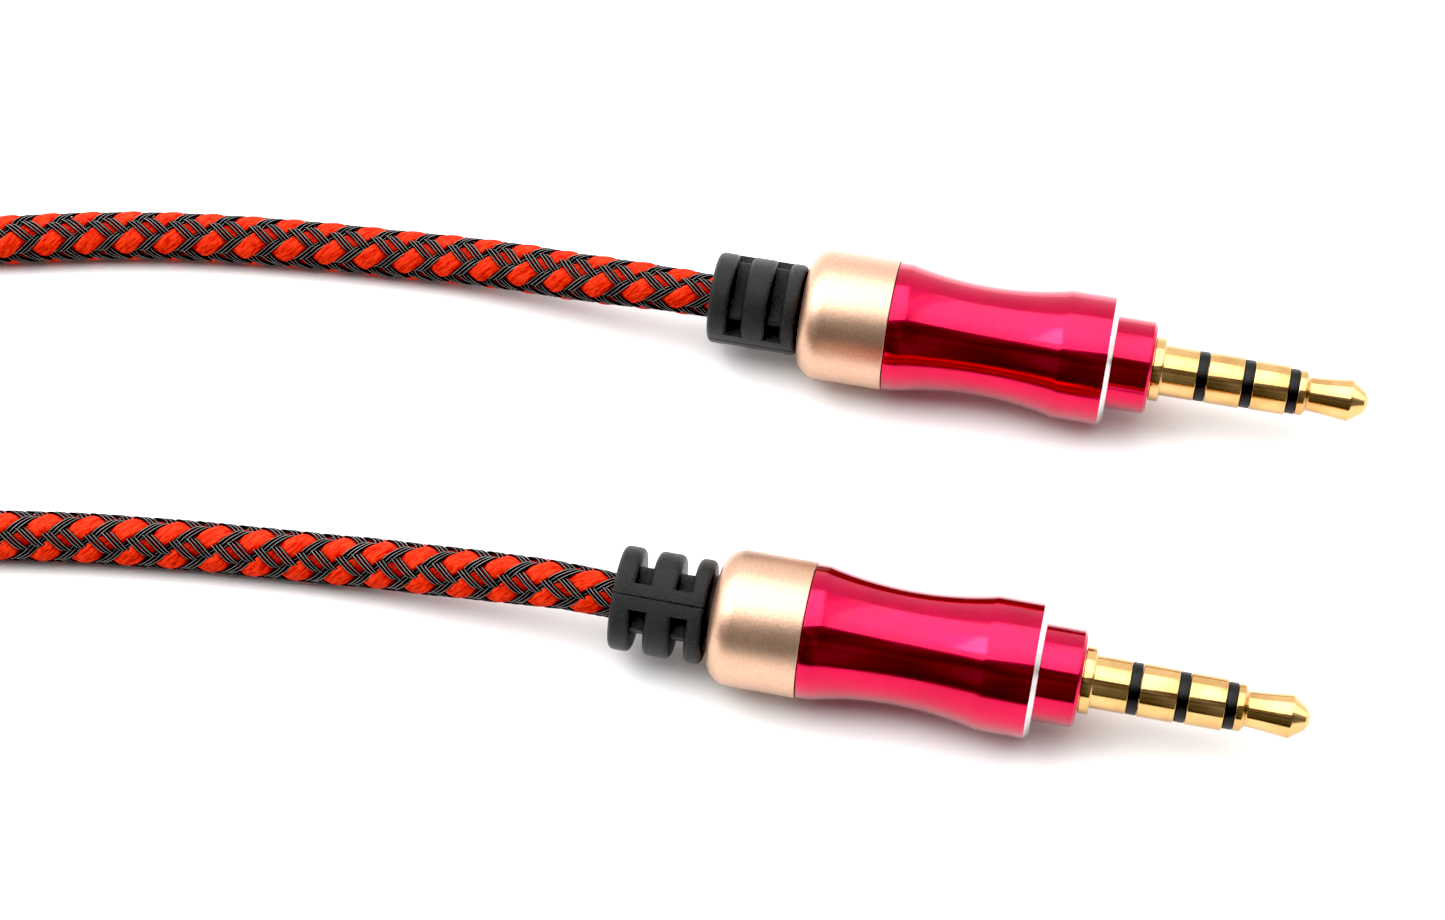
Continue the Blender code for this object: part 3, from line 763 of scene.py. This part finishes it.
def red_strands(cord, end, material, rng):
    """The four soft red tows of one stretch: flat, plied, and puffed up between crossings."""
    start, stop = strand_span(cord, end)
    rings = round((stop - start) * LEAD / STRAND_STEP)
    along = np.linspace(start, stop, rings)
    numbers = (0, 2, 4, 6)
    across = np.linspace(-1, 1, 27)
    lines, radial, sections, lift = [], [], [], []
    for number in numbers:
        round_ = number / 8 - along + wander(rng, (1, rings), 12, 0.0012)[0]
        over = weave(16 * round_)
        lift.append(over)
        radius = RED_RADIUS + RED_SWING * over
        lines.append(cord.place(along, round_, radius))
        radial.append(cord.place(along, round_, radius + 1.0) - lines[-1])
        uneven = (1 + wander(rng, (1, rings), 40, 0.025)[0])[:, None]
        width = (0.66 + 0.03 * over[:, None]) * uneven
        puff = (0.16 + 0.04 * over)[:, None]
        phase = 2.0 * along[:, None] * LEAD / 2.3 + number
        ply = 0.016 * np.abs(np.sin(np.pi * 5.5 * across[None, :] + phase))
        dome = np.sqrt(np.clip(1 - np.abs(across[None, :]) ** 5.0, 0, 1))
        top = np.stack([-across[None, :] * width, puff * dome + ply * dome
                        - 0.5 * (across[None, :] * width) ** 2 / PITCH_RADIUS], -1)
        low = across[::-3][1:-1]
        bottom = np.stack([-low[None, :] * width, np.broadcast_to(
            -0.12 * np.sqrt(1 - low[None, :] ** 2), (rings, len(low)))
            - 0.5 * (low[None, :] * width) ** 2 / PITCH_RADIUS], -1)
        sections.append(np.concatenate([top, bottom], 1))

    count = len(across)

    def chart(strand, a, b, sides):
        spread = np.where(b < count, b / (count - 1), 2.0 - (b - count) / (sides - count))
        return np.stack([a * 0.22 + 11.7 * strand, spread * 1.3 + 3.1 * strand], -1)

    return tubes(f"cord_{end}_red_strands", np.array(lines), np.array(radial), np.array(sections),
                 material, chart, np.array(lift))


def add_cord(materials):
    """The whole cord, from inside one boot's mouth to inside the other's."""
    ends = {prefix: plug_matrix(prefix) for prefix in PLUG_ROLLS}
    inside = [matrix @ Vector(((BOOT_REARS[prefix] + 0.3) * MM, 0, 0)) / MM
              for prefix, matrix in ends.items()]
    cord = Cord([inside[0], *CORD_A_ROUTE, *COIL_ARRIVAL, *coil_route(), *COIL_DEPARTURE,
                 *reversed(CORD_B_ROUTE), inside[1]])
    rng = np.random.default_rng(7)
    for end in "ab":
        black_strands(cord, end, materials["filament"], rng)
        red_strands(cord, end, materials["yarn"], rng)
    body = cord_body(cord, materials["braid"], materials["black"])
    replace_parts(body, "cord_tube_a", "cord_tube_b", "cord_coil")
    strap = add_strap(materials["strap"])


# ================================================================ strap
def add_strap(material):
    """A hook-and-loop strap wrapped once round the turns, its free end lapped over the start."""
    low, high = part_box("coil_strap")
    half = STRAP_THICKNESS / 2
    left, right = low.x / MM + half, high.x / MM - half
    bottom, top = low.z / MM + half, high.z / MM - half + 0.6
    corner, rounding = STRAP_CORNER, 12
    loop = []
    for quarter, (x, z) in enumerate(((right - corner, bottom + corner),
                                      (right - corner, top - corner),
                                      (left + corner, top - corner),
                                      (left + corner, bottom + corner))):
        for i in range(rounding + 1):
            angle = math.radians(-90 + 90 * quarter + 90 * i / rounding)
            loop.append((x + corner * math.cos(angle), z + corner * math.sin(angle)))
    loop = np.array(loop + loop[:1])
    length = np.concatenate([[0], np.cumsum(np.linalg.norm(np.diff(loop, axis=0), axis=1))])
    round_trip = length[-1]
    begin = np.interp(right - 6.0, [left, right], [0.62, 0.36]) * round_trip
    walk = np.arange(begin, begin + round_trip + STRAP_LAP, STRAP_STEP)
    line = np.stack([np.interp(walk % round_trip, length, loop[:, i]) for i in range(2)], -1)
    forward = np.gradient(line, axis=0)
    forward /= np.linalg.norm(forward, axis=1)[:, None]
    outward = np.stack([forward[:, 1], -forward[:, 0]], -1)
    lifted = np.clip((walk - begin - round_trip + STRAP_RAMP) / STRAP_RAMP, 0, 1)
    line = line + outward * (STRAP_THICKNESS + 0.02) * (lifted ** 2 * (3 - 2 * lifted))[:, None]
    width, sides = STRAP_WIDTH / 2, 2 * STRAP_POINTS
    there = np.linspace(-width, width, STRAP_POINTS)
    back = np.linspace(width, -width, STRAP_POINTS)
    across = np.concatenate([there, back])
    edge = np.sqrt(np.clip(1 - ((np.abs(across) - width + half) / half).clip(0) ** 2, 0, 1))
    face = np.where(np.arange(sides) < STRAP_POINTS, 1, -1)
    thick = face * half * np.maximum(edge, 0.15)
    ribs = 0.03 * np.sin(across[None, :] * 2 * math.pi / 0.5
                         + walk[:, None] * math.pi / STRAP_STEP)
    middle = (low.y + high.y) / 2 / MM
    verts = np.empty((len(walk), sides, 3))
    for i, axis in ((0, 0), (1, 2)):
        verts[:, :, axis] = line[:, i, None] + outward[:, i, None] * (thick + ribs)
    verts[:, :, 1] = middle + across
    verts[:, :, 2] = np.maximum(verts[:, :, 2], 0.0)
    corners = grid_faces(len(walk), sides)
    faces = np.stack([a * sides + b % sides for a, b in corners], -1)
    piece = add_mesh("strap", verts, faces, material)
    close_ends(piece)
    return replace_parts(piece, "coil_strap")


# ================================================================ plugs
def soft_min(a, b, blend):
    """The lesser of two radii, rounded where they meet."""
    h = np.clip(0.5 + 0.5 * (b - a) / blend, 0, 1)
    return b + (a - b) * h - blend * h * (1 - h)


def add_boot(prefix, material, matrix):
    """Rubber boot: three rounded ribs, square core and two spines with the mould's parting line."""
    edge = 0.38
    spread = np.linspace(0, 360, 145)[:-1]
    spine = np.concatenate([np.arange(12.0, 28.0, 0.5), [0.4, 0.7, 1.0, 1.3, 1.7, 2.3]])
    extra = np.concatenate([spine, -spine, 180 - spine, 180 + spine]) % 360
    angle = np.radians(np.unique(np.round(np.concatenate([spread, extra]), 3)))
    sin, cos = np.sin(angle), np.cos(angle)
    tiny = 1e-6
    outer = 1 / np.hypot(cos / RIB_HALF_HEIGHT, sin / RIB_HALF_WIDTH)
    core = soft_min(CORE_HALF / (np.abs(cos) + tiny), CORE_HALF / (np.abs(sin) + tiny), 0.4)
    wall = SPINE_HALF_WIDTH / (np.abs(sin) + tiny)
    slot = -soft_min(-core, -wall, 0.10)
    slot = soft_min(outer, slot, 0.16)
    seam = 0.06 * np.exp(-(outer * sin / 0.06) ** 2)
    shade = 0.05 * (outer - slot > 0.1)
    quarter = np.radians(np.linspace(0, 90, 7))
    rings = []

    def ring(station, radius):
        radius = np.broadcast_to(radius, angle.shape)
        rings.append(np.stack([np.full_like(angle, station), radius * sin, radius * cos], -1))

    starts = [0.0, *(stop for _, stop in SLOTS)]
    stops = [*(start for start, _ in SLOTS), BOOT_LENGTH]
    for number, (start, stop) in enumerate(zip(starts, stops)):
        for side, turns in ((1, quarter), (-1, quarter[::-1])):
            at_end = number == (0 if side > 0 else len(SLOTS))
            for turn in turns:
                radius = outer - edge * (1 - np.sin(turn))
                if not at_end:
                    radius = np.maximum(slot, radius)
                station = (start if side > 0 else stop) + side * edge * (1 - np.cos(turn))
                ring(station, radius - seam)
        if number < len(SLOTS):
            after = starts[number + 1]
            ring(stop, slot - seam + shade)
            ring(stop + 0.05, slot - seam)
            ring(after - 0.05, slot - seam)
            ring(after, slot - seam + shade)
    for station, radius in ((BOOT_LENGTH, 2.6), (BOOT_LENGTH + 0.1, 2.5), (7.9, 2.5), (7.9, 3.6),
                            (8.0, 3.7), (9.5, 3.7), (9.6, 3.6), (9.6, 1.35), (9.55, 1.30),
                            (1.5, 1.30), (1.4, 1.4), (1.35, 1.73), (0.2, 1.73), (0.06, 1.79),
                            (0.0, 1.93)):
        ring(station, radius)
    count = len(angle)
    corners = grid_faces(len(rings), count, close=True)
    faces = np.stack([(a % len(rings)) * count + b % count for a, b in corners], -1)
    matrix = matrix @ Matrix.Translation((BOOT_REARS[prefix] * MM, 0, 0))
    piece = add_mesh(f"{prefix}_boot", np.array(rings), faces[:, ::-1], material, matrix, 35.0)
    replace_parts(piece, f"{prefix}_strain_relief")


def arc(station, radius, size, start, end, steps):
    """Corners with no fillet on a circle in the (station, radius) plane."""
    turns = [math.radians(start + (end - start) * i / steps) for i in range(steps + 1)]
    return [(station + size * math.cos(t), radius + size * math.sin(t), 0) for t in turns]


def add_housing(prefix, materials, matrix):
    """The crimson shell with its bare chamfer, and the champagne cap behind it."""
    start, end, depth, radius = 13.6, 24.6, 0.65, 4.45
    half_chord = (end - start) / 2
    hollow = (half_chord ** 2 + depth ** 2) / (2 * depth)
    spread = math.degrees(math.asin(half_chord / hollow))
    waist = arc((start + end) / 2, radius - depth + hollow, hollow,
                270 - spread, 270 + spread, 40)
    shell = lathe(f"{prefix}_shell", rounded([
        (10.9, 3.4, 0.08), (10.9, 3.85, 0.08), (12.7, 3.85, 0), (12.7, radius, 0.05), *waist,
        (27.63, radius, 0.025), (27.95, 4.07, 0.025), (27.95, 3.2, 0.05), (30.48, 3.2, 0.06),
        (30.7, 2.98, 0.06), (30.7, 2.1, 0.05), (27.8, 2.1, 0), (27.8, 3.4, 0)]),
        [materials["crimson"], materials["bare"]], matrix, (27.62, 27.955, 4.06))
    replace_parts(shell, f"{prefix}_front_shell")

    cap = lathe(f"{prefix}_cap", rounded([
        (6.55, 2.65, 0.08), (6.55, 2.9, 0), *arc(8.15, 2.9, 1.6, 180, 90, 24)[1:],
        (12.65, 4.5, 0.06), (12.65, 3.95, 0.04), (7.75, 3.95, 0), (7.75, 2.65, 0.05)]),
        [materials["champagne"]], matrix)
    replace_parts(cap, f"{prefix}_rear_cap")


def add_jack(prefix, materials, matrix):
    """The four-pole pin: contacts and insulators nested as in the CAD model, edges eased."""
    def band(name, material, rear, bore, wall, start, end, radius, ease):
        corners = [(rear, bore, 0), (rear, bore + wall, 0), (start, bore + wall, 0),
                   (start, radius, ease), (end, radius, ease), (end, bore, 0)]
        piece = lathe(f"{prefix}_{name}", rounded(corners), [materials[material]], matrix)
        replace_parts(piece, f"{prefix}_{name}_contact" if material == "gold" else
                    f"{prefix}_{name.replace('_band', '')}")

    tip = lathe(f"{prefix}_tip", rounded([
        (21.4, 0, 0), (21.4, 0.42, 0.05), (40.685, 0.42, 0), (40.685, 1.55, 0.06),
        (41.15, 1.55, 0.10), (41.42, 1.17, 0.12), (42.4, 1.24, 0), (44.25, 1.455, 0.16),
        (45.2, 0.78, 0.25), (45.45, 0.40, 0.15), (45.45, 0, 0)], 6),
        [materials["gold"]], matrix)
    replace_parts(tip, f"{prefix}_tip_contact")
    band("tip_insulator_band", "black", 22.8, 0.47, 0.15, 40.015, 40.655, 1.54,
         0.04)
    band("ring_1", "gold", 23.0, 0.67, 0.18, 37.615, 39.985, 1.70, 0.06)
    band("ring_insulator_band", "black", 24.4, 0.90, 0.13, 36.915, 37.585, 1.65,
         0.04)
    band("ring_2", "gold", 24.6, 1.08, 0.14, 34.515, 36.885, 1.75, 0.06)
    band("sleeve_insulator_band", "black", 26.0, 1.27, 0.13, 33.815, 34.485, 1.71,
         0.04)
    sleeve = lathe(f"{prefix}_sleeve", rounded([
        (26.2, 1.45, 0), (26.2, 2.0, 0.04), (26.9, 2.0, 0), (26.9, 2.7, 0.05), (27.7, 2.7, 0.05),
        (27.7, 2.0, 0), (30.75, 2.0, 0), (30.75, 2.2, 0.05), (31.45, 2.2, 0.12),
        (31.45, 1.75, 0.05), (33.785, 1.75, 0.06), (33.785, 1.45, 0)]),
        [materials["gold"]], matrix)
    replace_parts(sleeve, f"{prefix}_sleeve_contact")


def finish_inner_nodes(prefix, materials):
    """Procedural finishes on the CAD pieces that stay as they are inside the housing."""
    finishes = {"insulating_tube": "white", "jacket_end": "grey"}
    for wire in ("left", "right", "microphone", "ground"):
        finishes[f"{wire}_wire"] = wire
        finishes[f"{wire}_solder"] = "solder"
    for part, finish in finishes.items():
        mesh = frame["nodes"][f"{prefix}_{part}"].data
        mesh.materials.clear()
        mesh.materials.append(materials[finish])


# ================================================================ table and light
def add_table():
    """A white table, big enough to fill every view."""
    mesh = bpy.data.meshes.new("table")
    size, height = 3.0, -0.00003
    mesh.from_pydata([(-size, -size, height), (size, -size, height), (size, size, height),
                      (-size, size, height)], [], [(0, 1, 2, 3)])
    finish = Finish("white_table", roughness=0.9)
    finish.set("Base Color", (0.90, 0.90, 0.90))
    finish.set("Specular IOR Level", 0.1)
    mesh.materials.append(finish.material)
    table = bpy.data.objects.new("table", mesh)
    bpy.context.scene.collection.objects.link(table)


def add_area(name, radiance, size, location, target):
    """A rectangular soft box of an even radiance, aimed at a point."""
    data = bpy.data.lights.new(name, "AREA")
    data.shape = "RECTANGLE"
    data.size, data.size_y = size
    data.energy = radiance * math.pi * size[0] * size[1]
    lamp = bpy.data.objects.new(name, data)
    lamp.location = location
    aim = Vector(target) - Vector(location)
    lamp.rotation_euler = aim.to_track_quat("-Z", "Y").to_euler()
    bpy.context.scene.collection.objects.link(lamp)


def add_light():
    """Soft boxes overhead, a little behind and to the left, one at each side, a pale room behind
    and a dim one in front."""
    height = 0.5
    boxes = {"softbox_middle": (1.75, (0.80, 0.62), (-0.25, 0.145, height)),
             "softbox_edge": (0.80, (0.95, 0.72), (-0.25, 0.145, height + 0.02)),
             "softbox_lip": (4.0, (0.80, 0.018), (-0.25, -0.18, height)),
             "softbox_bulb": (4.5, (0.22, 0.26), (-0.29, 0.03, height - 0.01))}
    for name, (radiance, size, place) in boxes.items():
        add_area(name, radiance, size, place, (place[0], place[1], 0.0))
    for name, side in (("left_box", -1), ("right_box", 1)):
        add_area(name, 1.5, (0.50, 0.40), (side * 0.50, 0.15, 0.30), (0.0, 0.0, 0.0))
    world = bpy.data.worlds.new("studio")
    world.use_nodes = True
    nodes = Nodes(world.node_tree)
    where = nodes.node("TexCoord")
    behind = nodes.node("SeparateXYZ", {0: where}, 1)
    pale = nodes.node("MapRange", {0: behind, 1: -0.38, 2: 0.05, 3: 0.0, 4: 1.35})
    patches = nodes.node("TexNoise", {"Vector": where, "Scale": 2.6, "Detail": 1.0})
    dim = nodes.node("MapRange", {0: patches, 1: 0.42, 2: 0.68, 3: 0.06, 4: 0.34})
    background = world.node_tree.nodes["Background"]
    background.inputs["Color"].default_value = (1.0, 1.0, 1.0, 1.0)
    world.node_tree.links.new(nodes.math("MAXIMUM", pale, dim), background.inputs["Strength"])
    scene = bpy.context.scene
    scene.world = world
    scene.view_settings.view_transform = "Standard"
    scene.view_settings.use_curve_mapping = True
    curve = scene.view_settings.curve_mapping
    curve.black_level = (0.012, 0.012, 0.012)
    curve.white_level = (0.92, 0.92, 0.92)
    curve.update()


def main():
    add_camera()
    materials = make_materials()
    add_cord(materials)
    for prefix in PLUG_ROLLS:
        matrix = plug_matrix(prefix)
        add_boot(prefix, materials["rubber"], matrix)
        add_housing(prefix, materials, matrix)
        add_jack(prefix, materials, matrix)
        finish_inner_nodes(prefix, materials)
    add_table()
    add_light()


main()
